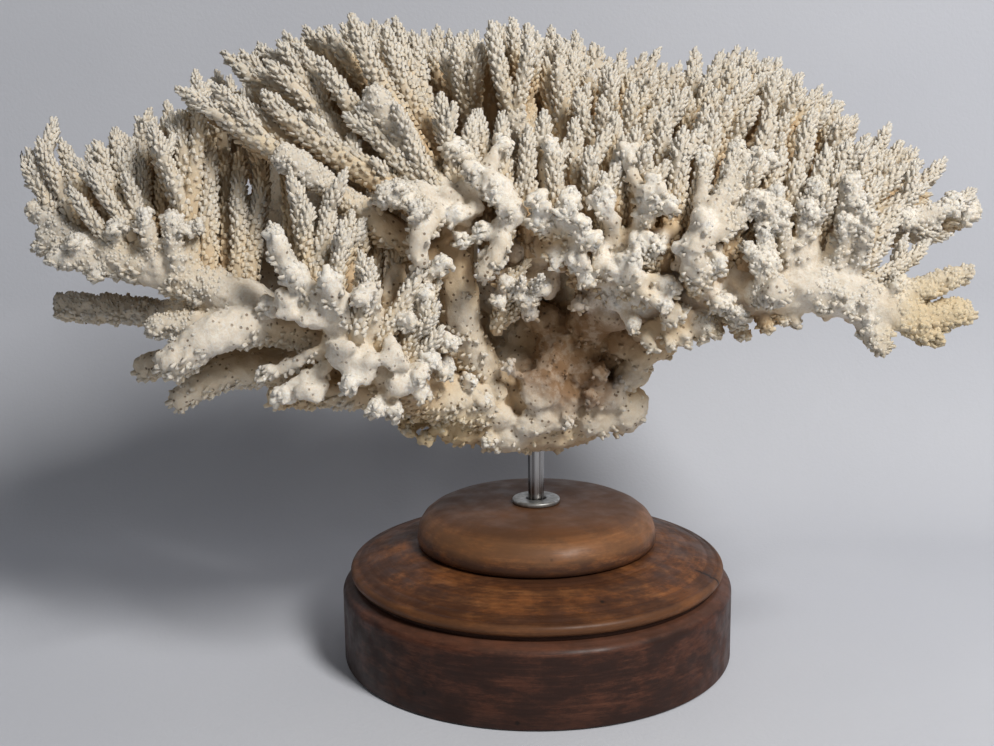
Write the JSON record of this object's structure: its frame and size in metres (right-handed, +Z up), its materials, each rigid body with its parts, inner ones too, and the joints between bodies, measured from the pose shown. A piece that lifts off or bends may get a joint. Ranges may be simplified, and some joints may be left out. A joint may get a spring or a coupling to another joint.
{
  "type": "branching coral on a turned stand",
  "caption": "Bleached table coral with upright twigs on spreading limbs, held by a steel rod in a round, stepped, turned wooden stand, to stand on a shelf as an ornament.",
  "frame": {"origin": "middle of the stand's underside, on the surface it stands on", "axes": "+Z up along the rod, +X to the right along the coral's longest extent, +Y to the back"},
  "size_m": [0.4377, 0.2276, 0.3204],
  "materials": {
    "wood_dark": "dark red-brown stain, worn, half-gloss",
    "wood_warm": "orange-brown stain under a worn half-gloss varnish, turned rings",
    "steel_polished": "smooth, polished",
    "steel_zinc": "dull zinc plate",
    "coral_lime": "bleached coral skeleton, rough and porous, cream in the hollows"
  },
  "bodies": {
    "root": {"stand_drum": "wood_dark", "stand_plate": "wood_warm", "stand_dome": "wood_warm", "steel_rod": "steel_polished", "steel_washer": "steel_zinc", "coral_foot": "coral_lime", "coral_stub_low": "coral_lime", "coral_limb_low": "coral_lime", "coral_limb_rising": "coral_lime", "coral_limb_centre": "coral_lime", "coral_limb_front_left": "coral_lime", "coral_limb_front_right": "coral_lime", "coral_limb_right_front": "coral_lime", "coral_limb_left_front": "coral_lime", "coral_limb_left": "coral_lime", "coral_limb_right": "coral_lime", "coral_limb_left_back": "coral_lime", "coral_limb_right_back": "coral_lime", "coral_limb_back_left": "coral_lime", "coral_limb_back": "coral_lime", "coral_limb_back_right": "coral_lime"}
  },
  "joints": []
}
